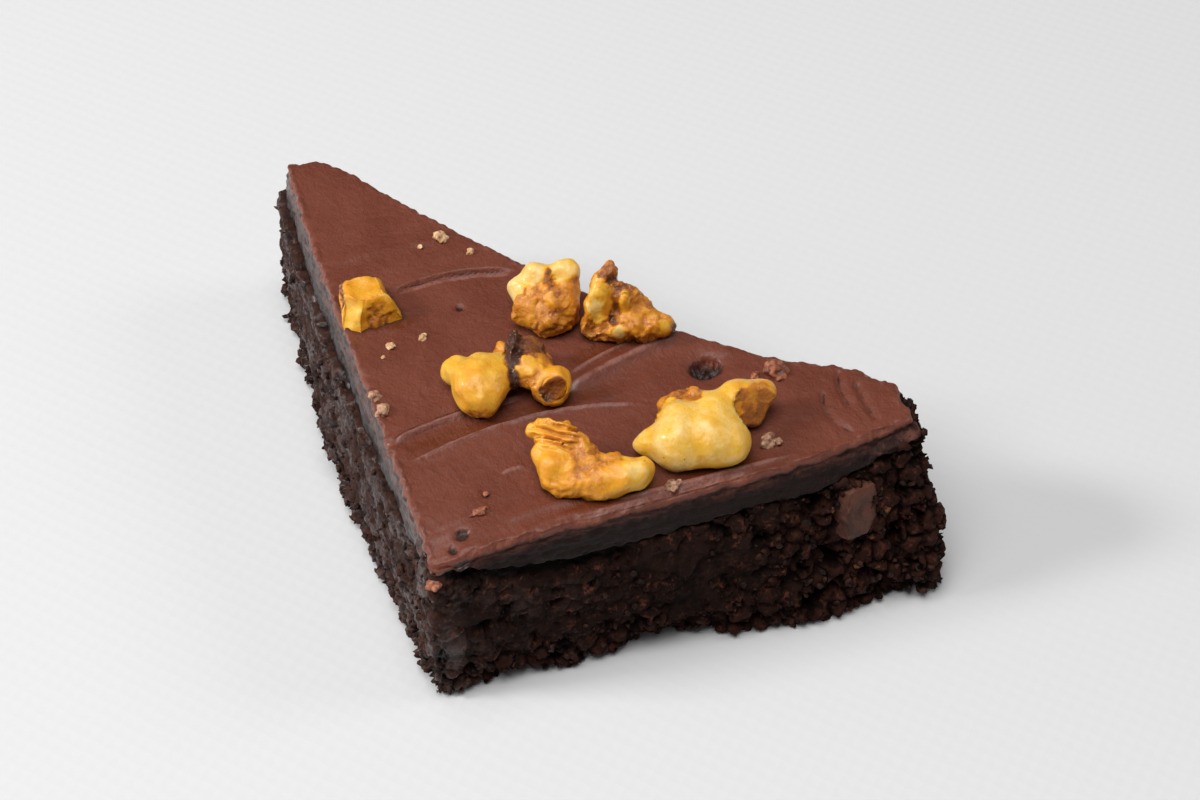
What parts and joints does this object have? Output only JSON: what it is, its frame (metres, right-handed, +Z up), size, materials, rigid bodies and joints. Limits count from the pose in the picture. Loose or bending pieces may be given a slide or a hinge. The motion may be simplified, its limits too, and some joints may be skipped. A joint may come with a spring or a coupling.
{
  "type": "brownie",
  "caption": "Triangular slice of dense chocolate brownie with a thick layer of chocolate frosting, scattered walnut pieces and a chocolate chunk showing in its torn front.",
  "frame": {"origin": "middle of the slice's bounding box, on the surface it lies on", "axes": "+X along the long side, towards the blunt end, +Y towards the long side, away from the square corner, +Z up"},
  "size_m": [0.1286, 0.0682, 0.0414],
  "materials": {
    "crumb": "torn, dense, nearly black chocolate crumb, slightly moist",
    "frosting": "spread chocolate frosting, satin, with knife strokes",
    "chocolate": "worn dark chocolate, satin",
    "walnut": "oily walnut kernel, pale yellow flesh and golden brown skin"
  },
  "bodies": {
    "root": {"crumb": "crumb", "frosting": "frosting", "chocolate_chunk": "chocolate", "walnut_left_chunk": "walnut", "walnut_back_left": "walnut", "walnut_back_right": "walnut", "walnut_middle": "walnut", "walnut_front_hook": "walnut", "walnut_right_large": "walnut"}
  },
  "joints": []
}
